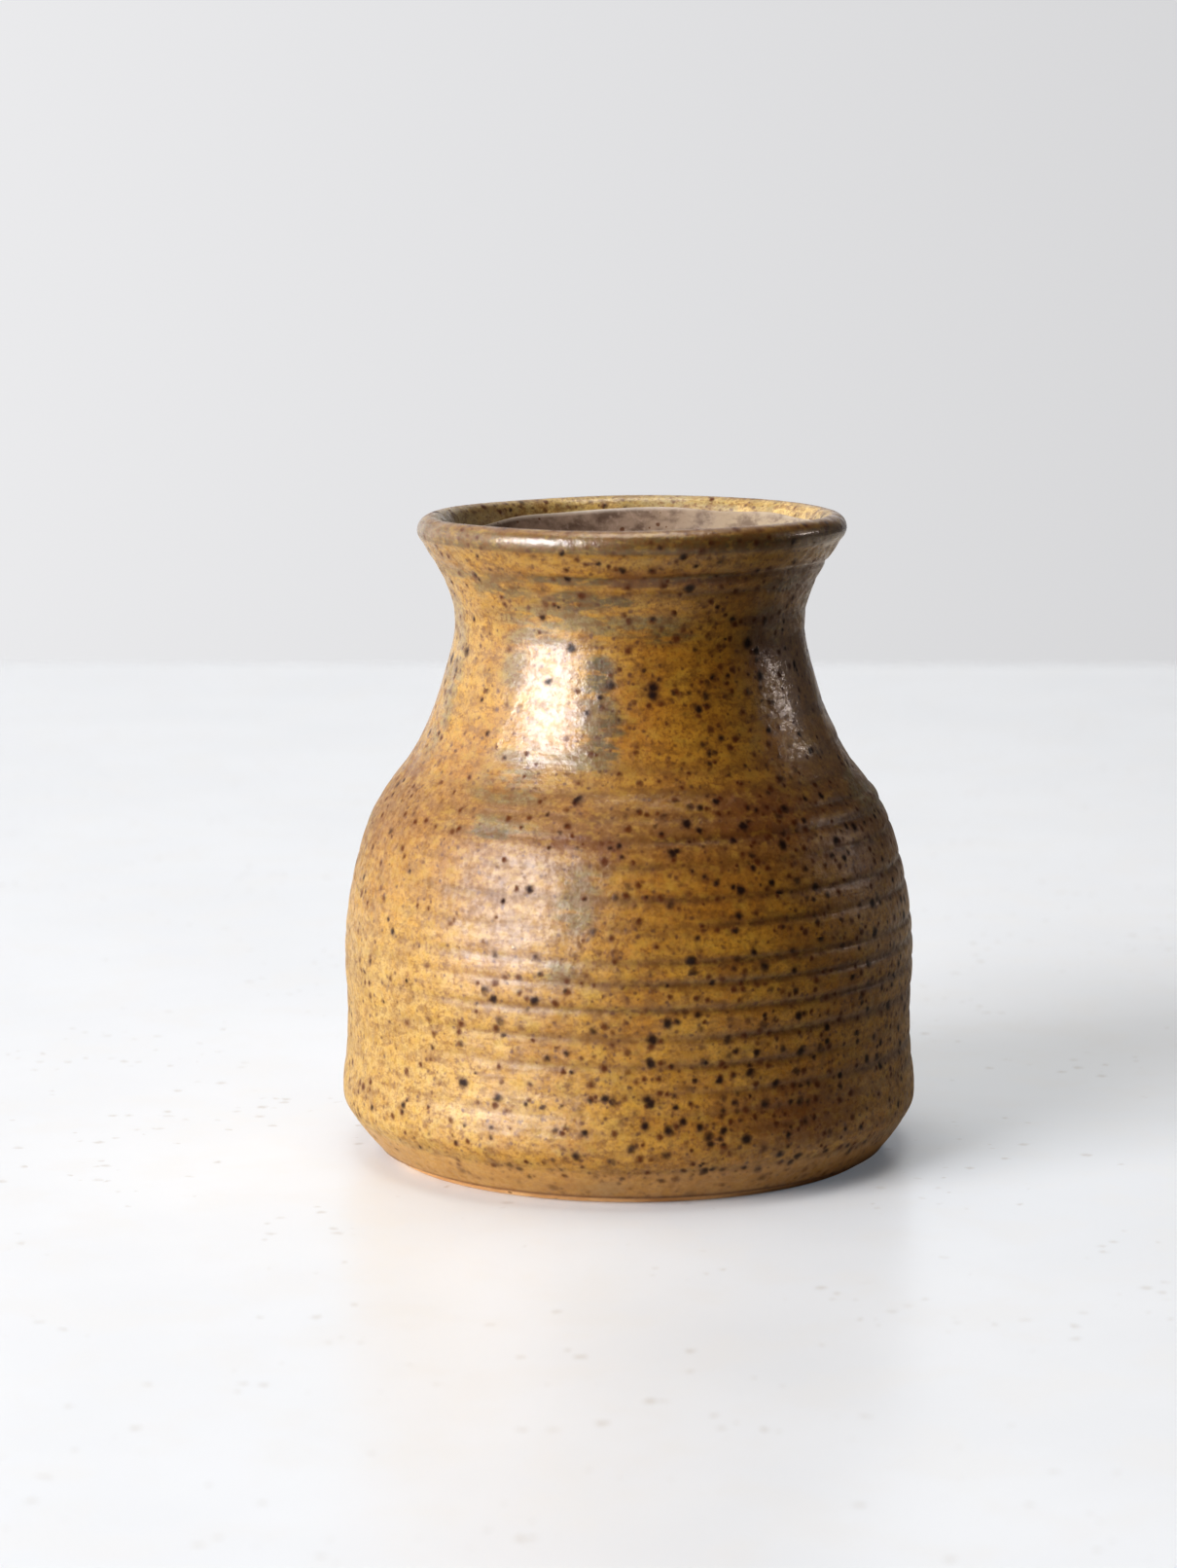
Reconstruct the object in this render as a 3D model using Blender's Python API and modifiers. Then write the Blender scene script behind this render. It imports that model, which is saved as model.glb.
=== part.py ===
"""Small wheel-thrown stoneware vase with a bevelled foot, a waisted neck and a flared, beaded mouth.

Three nested pieces, all turned about the Z axis:
    clay_body    the thrown clay, bare only on the foot
    outer_glaze  the coat from just above the foot, up the wall, over the lip and a little way in
    liner_glaze  the coat of the cavity, from below the lip to the floor

Metres, +Z up, origin at the centre of the face that the foot rests on.
"""

import math

import bmesh
import bpy

MM = 0.001

# Driving dimensions, over the glaze.
HEIGHT = 107.0 * MM
HEEL_RADIUS = 48.4 * MM
LIP_RADIUS = 35.8 * MM

# The wall's outer face from the foot to the underside of the lip: share of HEIGHT, share of HEEL_RADIUS.
WALL_STATIONS = (
    (0.000, 0.868),  # foot
    (0.032, 0.926),  # bevel
    (0.060, 0.975),
    (0.088, 0.998),  # heel
    (0.130, 0.991),
    (0.220, 0.981),  # slight waist
    (0.327, 0.988),  # belly
    (0.444, 0.952),
    (0.556, 0.864),  # shoulder
    (0.620, 0.760),
    (0.762, 0.632),
    (0.827, 0.603),  # neck
    (0.879, 0.620),
    (0.953, 0.711),  # under the lip
)

# Walls and coats.
WALL_AT_FOOT = 6.4 * MM
WALL_AT_LIP = 4.2 * MM
FLOOR_THICKNESS = 7.0 * MM
FLOOR_CORNER_RADIUS = 9.0 * MM
GLAZE_THICKNESS = 0.6 * MM
FIT_GAP = 0.3 * MM

# The lip is a bead: its section is an arc, in degrees from straight outwards.
BEAD_RADIUS = 2.3 * MM
BEAD_START = -60.0
BEAD_END = 150.0

# Where the coats end, as heights: above the foot outside, and below the lip inside.
FOOT_GLAZE_LINE = 0.9 * MM
LINER_TOP = HEIGHT - 2.4 * MM

# The foot: a flat resting ring round a shallow turned recess.
FOOT_RING_OUTER = 41.3 * MM
FOOT_RING_INNER = 36.0 * MM
RECESS_SLOPE = 2.0 * MM
RECESS_DEPTH = 1.4 * MM

# Facets.
TURN_STEPS = 48
WALL_SAMPLES = 21
CAVITY_SAMPLES = 14
BEAD_SAMPLES = 8
CORNER_SAMPLES = 5
MERGE_DISTANCE = 0.01 * MM

CLAY_COLOUR = (0.62, 0.33, 0.17)
OUTER_GLAZE_COLOUR = (0.42, 0.24, 0.075)
LINER_GLAZE_COLOUR = (0.33, 0.24, 0.19)


def slopes(stations):
    """The slope of a smooth curve at each station, from its neighbours on both sides."""
    spans = [
        (upper[1] - lower[1]) / (upper[0] - lower[0])
        for lower, upper in zip(stations, stations[1:])
    ]
    found = [spans[0]]
    for i in range(1, len(stations) - 1):
        below = stations[i][0] - stations[i - 1][0]
        above = stations[i + 1][0] - stations[i][0]
        found.append((spans[i - 1] * above + spans[i] * below) / (below + above))
    found.append(spans[-1])
    return found


WALL = [(height * HEIGHT, radius * HEEL_RADIUS) for height, radius in WALL_STATIONS]
WALL_SLOPES = slopes(WALL)
WALL_TOP = WALL[-1][0]


def wall_span(height):
    """The index of the pair of stations that a height lies between, and how far along it is."""
    last = len(WALL) - 2
    span = next((i for i in range(last) if height < WALL[i + 1][0]), last)
    low, high = WALL[span][0], WALL[span + 1][0]
    return span, (height - low) / (high - low)


def outer_radius(height):
    """Radius of the glazed wall at a height: a cubic curve through the stations."""
    span, t = wall_span(height)
    length = WALL[span + 1][0] - WALL[span][0]
    start, end = WALL[span][1], WALL[span + 1][1]
    start_slope, end_slope = WALL_SLOPES[span] * length, WALL_SLOPES[span + 1] * length
    return (
        (2 * t**3 - 3 * t**2 + 1) * start
        + (t**3 - 2 * t**2 + t) * start_slope
        + (3 * t**2 - 2 * t**3) * end
        + (t**3 - t**2) * end_slope
    )


def cavity_radius(height):
    """Radius of the lined cavity: the wall, which thins towards the lip, taken off the outside."""
    step = 0.5 * MM
    lean = (outer_radius(height + step) - outer_radius(height - step)) / (2 * step)
    share = height / HEIGHT
    thickness = WALL_AT_FOOT + (WALL_AT_LIP - WALL_AT_FOOT) * share
    return outer_radius(height) - thickness * math.hypot(1.0, lean)


def evenly(start, end, count):
    """Count values from start to end, both included."""
    return [start + (end - start) * i / (count - 1) for i in range(count)]


def arc(centre, radius, start, end, count):
    """Points on an arc in the (radius, height) plane, with angles in degrees from straight outwards."""
    return [
        (centre[0] + radius * math.cos(turn), centre[1] + radius * math.sin(turn))
        for turn in evenly(math.radians(start), math.radians(end), count)
    ]


def outside_face():
    """(radius, height) up the glazed wall from the foot's glaze line and over the lip's bead."""
    wall = [(outer_radius(z), z) for z in evenly(FOOT_GLAZE_LINE, WALL_TOP, WALL_SAMPLES)]
    bead_centre = (LIP_RADIUS - BEAD_RADIUS, HEIGHT - BEAD_RADIUS)
    return wall + arc(bead_centre, BEAD_RADIUS, BEAD_START, BEAD_END, BEAD_SAMPLES)


def cavity_face():
    """(radius, height) down the cavity from the liner's top edge to the middle of the floor."""
    floor = FLOOR_THICKNESS + GLAZE_THICKNESS
    corner_top = floor + FLOOR_CORNER_RADIUS
    heights = evenly(WALL_TOP, corner_top, CAVITY_SAMPLES)
    corner_centre = (cavity_radius(corner_top) - FLOOR_CORNER_RADIUS, corner_top)
    corner = arc(corner_centre, FLOOR_CORNER_RADIUS, 0.0, -90.0, CORNER_SAMPLES)
    return [(cavity_radius(z), z) for z in heights] + corner[1:] + [(0.0, floor)]


def between(first, second, height):
    """The point at a height on the straight line between two points."""
    share = (height - first[1]) / (second[1] - first[1])
    return (first[0] + (second[0] - first[0]) * share, height)


def inset(points, distance):
    """A line moved towards the clay, which lies on its left. A point on the axis stays on it."""
    moved = []
    for i, (radius, height) in enumerate(points):
        before = points[max(i - 1, 0)]
        after = points[min(i + 1, len(points) - 1)]
        along_r, along_z = after[0] - before[0], after[1] - before[1]
        length = math.hypot(along_r, along_z)
        if radius == 0.0:
            moved.append((0.0, height - distance))
        else:
            moved.append(
                (
                    radius - distance * along_z / length,
                    height + distance * along_r / length,
                )
            )
    return moved


def glaze_material(name, colour, roughness, coat):
    """A Principled material for a coat of glaze, or for bare clay when it has no coat."""
    material = bpy.data.materials.new(name)
    material.use_nodes = True
    shader = material.node_tree.nodes["Principled BSDF"]
    shader.inputs["Base Color"].default_value = (*colour, 1.0)
    shader.inputs["Roughness"].default_value = roughness
    shader.inputs["Metallic"].default_value = 0.0
    shader.inputs["Coat Weight"].default_value = coat
    material.diffuse_color = (*colour, 1.0)
    return material


def turned(name, section, closed, material, collection):
    """One piece: a section in the XZ plane, turned about Z. It runs down its outer side."""
    mesh = bpy.data.meshes.new(name)
    outline = bmesh.new()
    corners = [outline.verts.new((radius, 0.0, height)) for radius, height in section]
    for first, second in zip(corners, corners[1:]):
        outline.edges.new((first, second))
    if closed:
        outline.edges.new((corners[-1], corners[0]))
    outline.to_mesh(mesh)
    outline.free()
    mesh.materials.append(material)
    piece = bpy.data.objects.new(name, mesh)
    collection.objects.link(piece)
    turn = piece.modifiers.new("turn", "SCREW")
    turn.axis = "Z"
    turn.angle = math.tau
    turn.steps = TURN_STEPS
    turn.render_steps = TURN_STEPS
    turn.use_merge_vertices = True
    turn.merge_threshold = MERGE_DISTANCE
    turn.use_smooth_shade = True
    return piece


def coat(name, face, material, collection):
    """A coat of glaze: its shiny face, and the same line one thickness nearer the clay."""
    back = inset(face, GLAZE_THICKNESS)
    section = face[::-1] + back
    closed = face[-1][0] > 0.0
    return turned(name, section, closed, material, collection)


def build():
    collection = bpy.data.collections.new("stoneware_vase")
    bpy.context.scene.collection.children.link(collection)
    clay = glaze_material("bare_clay", CLAY_COLOUR, 0.85, 0.0)
    amber = glaze_material("speckled_amber_glaze", OUTER_GLAZE_COLOUR, 0.28, 0.4)
    mauve = glaze_material("grey_liner_glaze", LINER_GLAZE_COLOUR, 0.25, 0.4)

    outside = outside_face()
    cavity = cavity_face()
    bead_end, cavity_start = outside[-1], cavity[0]
    outside_end = between(bead_end, cavity_start, LINER_TOP + FIT_GAP)
    liner_start = between(bead_end, cavity_start, LINER_TOP)
    coat("outer_glaze", outside + [outside_end], amber, collection)
    coat("liner_glaze", [liner_start] + cavity, mauve, collection)

    clay_face = inset(outside + cavity, GLAZE_THICKNESS + FIT_GAP)
    foot = [
        (FOOT_RING_OUTER, 0.0),
        (FOOT_RING_INNER, 0.0),
        (FOOT_RING_INNER - RECESS_SLOPE, RECESS_DEPTH),
        (0.0, RECESS_DEPTH),
    ]
    turned("clay_body", clay_face[::-1] + foot, False, clay, collection)


for leftover in list(bpy.data.objects):
    bpy.data.objects.remove(leftover)
build()
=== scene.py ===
import math

import bpy
import numpy as np
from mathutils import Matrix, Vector


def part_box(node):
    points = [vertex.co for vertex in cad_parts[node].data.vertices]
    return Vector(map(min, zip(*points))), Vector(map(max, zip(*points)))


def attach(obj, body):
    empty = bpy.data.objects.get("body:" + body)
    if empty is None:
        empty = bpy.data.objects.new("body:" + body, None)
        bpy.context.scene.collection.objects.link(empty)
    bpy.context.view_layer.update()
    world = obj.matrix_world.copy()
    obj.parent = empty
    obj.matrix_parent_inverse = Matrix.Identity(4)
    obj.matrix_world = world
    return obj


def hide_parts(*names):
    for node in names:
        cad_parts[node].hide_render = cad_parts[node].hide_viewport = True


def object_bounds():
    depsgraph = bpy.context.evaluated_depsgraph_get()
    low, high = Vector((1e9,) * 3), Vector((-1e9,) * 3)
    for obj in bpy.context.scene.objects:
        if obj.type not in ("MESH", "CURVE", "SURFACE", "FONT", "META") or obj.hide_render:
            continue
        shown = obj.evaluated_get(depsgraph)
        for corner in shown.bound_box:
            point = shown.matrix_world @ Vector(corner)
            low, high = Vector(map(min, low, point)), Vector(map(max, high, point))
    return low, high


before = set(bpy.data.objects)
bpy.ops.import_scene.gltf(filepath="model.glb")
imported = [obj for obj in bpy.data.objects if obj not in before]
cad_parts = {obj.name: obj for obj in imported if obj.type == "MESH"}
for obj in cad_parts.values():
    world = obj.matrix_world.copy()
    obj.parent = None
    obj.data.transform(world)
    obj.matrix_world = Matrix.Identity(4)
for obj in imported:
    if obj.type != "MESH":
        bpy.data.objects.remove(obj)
cad_low, cad_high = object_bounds()

MM = 0.001
TURN = math.tau

# ---------------------------------------------------------------- sizes, from the frame

HEIGHT = cad_high.z - cad_low.z
LIP_UNDERSIDE = HEIGHT - 5.0 * MM
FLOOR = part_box("liner_glaze")[0].z
GLAZE_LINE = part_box("outer_glaze")[0].z
LINER_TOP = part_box("liner_glaze")[1].z

BEAD_RADIUS = 2.3 * MM
BEAD_START = -60.0
BEAD_END = 150.0
COAT = 0.6 * MM
BEDDED = 0.15 * MM  # how far each coat sinks into the clay, so that no gap shows
LINER_PROUD = 0.06 * MM  # how far the liner stands above the amber coat at its edge
LINER_OVERLAP = 2.5 * MM
FLOOR_CORNER = 9.0 * MM
FOOT_RING_OUTER = 41.3 * MM
FOOT_RING_INNER = 36.0 * MM
RECESS_DEPTH = 1.4 * MM
HEEL = 9.0 * MM

AROUND = 360  # columns of every turned mesh
RECESS_ROWS = 60

# ---------------------------------------------------------------- the marks of the wheel

# Grooves that the fingers left in the outside: height and depth, in mm.
OUTSIDE_GROOVES = (
    (6.2, 0.12), (9.4, 0.05), (12.5, 0.06), (15.5, 0.09), (19.0, 0.13), (23.7, 0.15),
    (27.9, 0.18), (32.8, 0.22), (36.9, 0.20), (40.3, 0.18), (45.5, 0.16), (50.0, 0.17),
    (54.9, 0.14), (59.0, 0.15), (61.8, 0.10), (65.5, 0.08), (69.0, 0.08), (75.6, 0.06),
    (82.2, 0.08), (88.0, 0.09), (91.4, 0.10), (96.4, 0.10), (99.3, 0.26),
)
GROOVE_WIDTH = 0.50 * MM
BAND_BULGE = 0.10 * MM


def rng(seed):
    return np.random.default_rng(seed)


def waves(azimuth, seed, lowest=1, highest=6, fall=1.0):
    """A smooth random curve round the pot, between about -1 and 1."""
    draw = rng(seed)
    orders = np.arange(lowest, highest + 1)
    sizes = orders ** -fall
    phases = draw.uniform(0, TURN, len(orders))
    total = sum(
        size * np.cos(order * azimuth + phase)
        for order, size, phase in zip(orders, sizes, phases)
    )
    return total / np.sqrt((sizes**2).sum() / 2) / 2


# ---------------------------------------------------------------- the outline


def rings(node):
    """(radius, height) of each ring of corners of a turned CAD node, on the +X half-plane."""
    corners = np.array([v.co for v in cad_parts[node].data.vertices])
    seam = corners[(np.abs(corners[:, 1]) < 1e-6) & (corners[:, 0] > 0)]
    return np.unique(np.round(seam[:, [0, 2]], 6), axis=0)


def shiny_side(node, lowest, highest, outwards):
    """Heights and radii of the face of a coat that shows: the extreme ring at about each height."""
    found = rings(node)
    found = found[(found[:, 1] >= lowest - 1e-6) & (found[:, 1] <= highest + 1e-6)]
    sign = 1 if outwards else -1
    kept = []
    for radius, height in found:
        rivals = found[np.abs(found[:, 1] - height) < 1.2 * MM][:, 0]
        if sign * radius >= (sign * rivals).max() - 1e-6:
            kept.append((height, radius))
    heights, radii = np.array(sorted(kept)).T
    return heights, radii


def curve_through(xs, ys):
    """A function that runs smoothly through points: a cubic between each pair."""
    slopes = np.gradient(ys, xs)

    def value(x):
        i = np.clip(np.searchsorted(xs, x) - 1, 0, len(xs) - 2)
        length = xs[i + 1] - xs[i]
        t = (x - xs[i]) / length
        return (
            (2 * t**3 - 3 * t**2 + 1) * ys[i]
            + (t**3 - 2 * t**2 + t) * length * slopes[i]
            + (3 * t**2 - 2 * t**3) * ys[i + 1]
            + (t**3 - t**2) * length * slopes[i + 1]
        )

    return value


def arc(centre, radius, start, end, count):
    turn = np.radians(np.linspace(start, end, count))
    return np.stack([centre[0] + radius * np.cos(turn), centre[1] + radius * np.sin(turn)], 1)


class Line:
    """A dense (radius, height) line with its length and its normals, which point off the clay."""

    def __init__(self, points):
        steps = np.hypot(*np.diff(points, axis=0).T)
        self.points = points[np.concatenate([[True], steps > 1e-7])]
        steps = np.hypot(*np.diff(self.points, axis=0).T)
        self.along = np.concatenate([[0.0], np.cumsum(steps)])
        tangents = np.gradient(self.points, self.along, axis=0)
        tangents /= np.linalg.norm(tangents, axis=1)[:, None]
        self.normals = np.stack([tangents[:, 1], -tangents[:, 0]], 1)

    def at(self, s):
        """(radius, height) at lengths s, in an array of any shape."""
        return np.stack([np.interp(s, self.along, self.points[:, i]) for i in (0, 1)], -1)

    def normal(self, s):
        return np.stack([np.interp(s, self.along, self.normals[:, i]) for i in (0, 1)], -1)

    def last_at(self, height):
        """The length along the line at which it last crosses a height."""
        above = self.points[:, 1] >= height
        return self.along[np.nonzero(above[1:] != above[:-1])[0][-1] + 1]


def skin_line():
    """The glaze's surface: up the outside, over the lip and down the cavity to the axis."""
    outside = curve_through(*shiny_side("outer_glaze", GLAZE_LINE, LIP_UNDERSIDE, True))
    amber = rings("outer_glaze")
    lip_radius = amber[amber[:, 1] > LIP_UNDERSIDE][:, 0].max()
    bead_centre = (lip_radius - BEAD_RADIUS, HEIGHT - BEAD_RADIUS)
    bead = arc(bead_centre, BEAD_RADIUS, BEAD_START, BEAD_END, 120)
    wall_z = np.arange(GLAZE_LINE, LIP_UNDERSIDE, 0.1 * MM)
    wall = np.stack([outside(wall_z), wall_z], 1)

    floor_face = FLOOR + COAT
    corner_top = floor_face + FLOOR_CORNER
    cavity = curve_through(*shiny_side("liner_glaze", corner_top, LIP_UNDERSIDE, False))
    cavity_z = np.arange(LIP_UNDERSIDE - 1.0 * MM, corner_top, -0.2 * MM)
    inside = np.stack([cavity(cavity_z), cavity_z], 1)
    corner = arc((inside[-1, 0] - FLOOR_CORNER, corner_top), FLOOR_CORNER, 0, -90, 60)
    middle = np.stack([np.linspace(corner[-1, 0], 0, 80), np.full(80, floor_face)], 1)
    points = np.concatenate([wall, bead, inside, corner, middle])
    return Line(eased(points))


def eased(points, reach=0.5 * MM, step=0.05 * MM):
    """The same line at even steps, with its joins rounded off over a short reach."""
    along = np.concatenate([[0.0], np.cumsum(np.hypot(*np.diff(points, axis=0).T))])
    even = np.arange(0, along[-1], step)
    fine = np.stack([np.interp(even, along, points[:, i]) for i in (0, 1)], 1)
    offsets = np.arange(-3 * reach, 3 * reach + step / 2, step)
    kernel = np.exp(-0.5 * (offsets / reach) ** 2)
    kernel /= kernel.sum()
    half = len(kernel) // 2
    before = 2 * fine[0] - fine[half:0:-1]
    after = 2 * fine[-1] - fine[-2 : -half - 2 : -1]
    padded = np.concatenate([before, fine, after])
    smooth = np.stack([np.convolve(padded[:, i], kernel, "valid") for i in (0, 1)], 1)
    smooth[-1, 0] = 0.0
    return smooth


# ---------------------------------------------------------------- relief


def groove_relief(height, azimuth, grooves, seed):
    """How far the surface stands off the outline, and how deep in a groove it lies (0 to 1)."""
    relief = np.zeros_like(height)
    depth_share = np.zeros_like(height)
    middles = [z * MM for z, _ in grooves]
    drifts = [0.35 * MM * waves(azimuth, seed + k, 1, 5, 1.2) for k in range(len(grooves))]
    for k, (middle, (_, depth)) in enumerate(zip(middles, grooves)):
        strength = np.clip(0.75 + 0.55 * waves(azimuth, seed + 100 + k, 1, 9, 0.6), 0.12, 1.5)
        # Deeper, and with a darker stain, on the side away from the window: the stain is pooled
        # glaze and painted shade.
        strength *= np.maximum(0.95 + 0.80 * np.sin(azimuth), 0.40)
        offset = (height - middle - drifts[k]) / GROOVE_WIDTH
        shape = np.exp(-np.abs(offset) ** 1.6)
        relief -= 0.8 * depth * MM * strength * shape
        stain = np.exp(-np.abs(offset / 1.5) ** 1.6)
        depth_share = np.maximum(depth_share, strength * stain * min(depth / 0.18, 1.0))
    for k in range(len(grooves) - 1):
        low, high = middles[k] + drifts[k], middles[k + 1] + drifts[k + 1]
        t = np.clip((height - low) / (high - low), 0, 1)
        share = min(grooves[k][1], grooves[k + 1][1]) / 0.3
        relief += BAND_BULGE * share * 4 * t * (1 - t)
    return relief, np.clip(depth_share, 0, 1)


def blob(height, azimuth, place, size):
    """A soft patch: place and size are (degrees round from the front, mm of height)."""
    gap = (np.degrees(azimuth) - place[0] + 180) % 360 - 180
    return np.exp(-((gap / size[0]) ** 2) - ((height / MM - place[1]) / size[1]) ** 2)


LIP_SHIFT = 0.45 * MM
FOOT_SHIFT = 0.50 * MM
LIP_TILT = 0.25 * MM
OUT_OF_ROUND = 0.22 * MM


def lean(points, azimuth):
    """The faults of a hand-thrown pot: a shifted lip and foot, a tilted rim, a wall out of round.

    Points are x, y, z rows.
    """
    height = points[..., 2]
    at_lip = np.clip((height / HEIGHT - 0.72) / 0.28, 0, 1) ** 2
    at_foot = np.clip(1 - height / (10 * MM), 0, 1)
    tilt = np.sin(azimuth) + 0.8 * waves(azimuth, seed=501, lowest=2)
    radial = OUT_OF_ROUND * waves(azimuth, seed=502, lowest=2, highest=5, fall=1.2)
    moved = points.copy()
    moved[..., 0] += FOOT_SHIFT * at_foot + LIP_SHIFT * at_lip + radial * np.sin(azimuth)
    moved[..., 1] -= radial * np.cos(azimuth)
    moved[..., 2] += LIP_TILT * at_lip * tilt
    return moved


# ---------------------------------------------------------------- meshes


def grid_mesh(name, rows, closed, attributes):
    """Quads between rows of points round the pot. If closed, the last row joins the first."""
    count = len(rows)
    column = np.arange(AROUND)
    following = (column + 1) % AROUND
    faces = []
    for low in range(count if closed else count - 1):
        a, b = low * AROUND, (low + 1) % count * AROUND
        faces.append(np.stack([a + column, a + following, b + following, b + column], 1))
    mesh = bpy.data.meshes.new(name)
    mesh.from_pydata(rows.reshape(-1, 3).tolist(), [], np.concatenate(faces).tolist())
    mesh.validate()
    for key, values in attributes.items():
        flat = values.reshape(-1).astype(np.float32)
        mesh.attributes.new(key, "FLOAT", "POINT").data.foreach_set("value", flat)
    mesh.shade_smooth()
    made = bpy.data.objects.new(name, mesh)
    bpy.context.scene.collection.objects.link(made)
    return made


def round_the_axis(radius, height, azimuth):
    """x, y, z rows from radius and height grids. Azimuth is 0 at -Y and grows towards +X."""
    return np.stack([radius * np.sin(azimuth), -radius * np.cos(azimuth), height], -1)


def spaced(line, start, end, spacing):
    """Lengths along the line from start to end, with a step that spacing(height) gives."""
    fine = np.append(np.arange(start, end, 0.05 * MM), end)
    density = 1 / spacing(line.at(fine)[:, 1])
    total = np.concatenate([[0], np.cumsum(density[:-1] * np.diff(fine))])
    return np.interp(np.linspace(0, total[-1], int(total[-1]) + 1), total, fine)


def swept(line, s, push, azimuth):
    """Points at lengths s of the line, pushed along its normals and turned round the axis."""
    place, normal = line.at(s), line.normal(s)
    radius = np.maximum(place[..., 0] + normal[..., 0] * push, 0.0)
    height = place[..., 1] + normal[..., 1] * push
    return round_the_axis(radius, height, azimuth)


# ---------------------------------------------------------------- the glaze's patches

# Each is a place and a half-width, both as (degrees round from the front, mm of height).

OLIVE_PATCHES = (
    ((-27, 92.2), (16, 1.8)), ((-31, 88.8), (9, 1.3)), ((-9, 79), (4.5, 9)),
    ((-38, 84), (4, 3)), ((-28, 70.6), (9, 1.0)), ((-10, 70.6), (5, 1.3)),
    ((-30, 67.4), (9, 1.0)), ((-31, 64.6), (9, 1.1)), ((-31, 60.2), (10, 1.2)),
    ((-9, 52.4), (4.5, 1.6)), ((-11, 47.5), (3.5, 2.6)), ((-13, 38.5), (3, 1.6)),
    ((-68, 80), (4, 9)), ((-75, 91), (6, 3)), ((50, 90), (8, 3)),
    ((3, 91.5), (14, 1.2)), ((-5, 3.0), (3, 1.4)),
)
DARK_PATCHES = (
    ((-43, 96.4), (10, 1.5)), ((-17, 95.4), (9, 1.5)), ((-2, 95.4), (5, 0.7)),
    ((-60, 98.6), (16, 0.6)), ((-20, 98.8), (13, 0.6)), ((4, 98.6), (9, 0.8)),
    ((22, 99.0), (8, 0.7)), ((58, 97), (12, 1.2)), ((-9, 83), (3.5, 3)),
    ((-5, 74), (4, 3)), ((-31, 59.0), (7, 0.7)), ((10, 89.5), (10, 0.8)),
)
RUST_PATCHES = (
    ((-8, 57.8), (11, 1.3)), ((-4, 56.2), (4, 0.8)), ((-14, 58.6), (8, 0.8)),
    ((-1, 99.6), (7, 2.2)), ((22, 98.4), (22, 0.9)), ((47, 86), (9, 6)),
    ((45, 91.3), (14, 0.8)), ((30, 62), (16, 5)), ((35, 14), (22, 7)),
)
MAUVE_PATCHES = (
    ((-30, 61), (30, 5)), ((24, 60), (36, 6)), ((75, 58), (40, 12)), ((-80, 58), (26, 9)),
    ((-28, 49), (14, 9)), ((62, 88), (22, 12)), ((150, 62), (50, 10)), ((-140, 56), (45, 9)),
)
RUN_PATCHES = (((-112, 103), (42, 12)), ((165, 106), (12, 3)))
# Painted shade: a redder, deeper tint on the side away from the window.
PAINTED_SHADE_PATCHES = (((47, 40), (54, 300)),)
# Painted sheen: where the glaze is made paler and whiter on the window's side, standing in for the
# window's broad reflection.
PAINTED_SHEEN_PATCHES = (((-64, 12), (40, 20)), ((-70, 30), (30, 16)), ((-74, 92), (28, 18)))
CROWDED = (
    ((28, 20), (45, 20)), ((32, 84), (30, 12)), ((38, 58), (24, 10)), ((120, 30), (50, 25)),
    ((-130, 78), (40, 18)),
)
SPARSE = (((-50, 82), (26, 20)), ((-52, 45), (28, 24)), ((-44, 22), (34, 13)), ((12, 70), (30, 8)))
LINER_BLEED_PATCHES = (((118, 104), (46, 9)),)
# Where the painted highlight on the liner's edge is strongest.
LINER_HIGHLIGHT_PATCHES = (((-148, 104), (34, 30)),)


def patches(height, azimuth, places):
    return np.clip(sum(blob(height, azimuth, place, size) for place, size in places), 0, 1)


def scattered(count, seed, spread, heights, widths, tall):
    """Random patches, up to spread degrees to either side of the pot's back."""
    draw = rng(seed)
    found = []
    for _ in range(count):
        place = (180 + draw.uniform(-spread, spread), draw.uniform(*heights))
        found.append((place, (draw.uniform(*widths), draw.uniform(*tall))))
    return tuple(found)


# ---------------------------------------------------------------- shading


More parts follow.
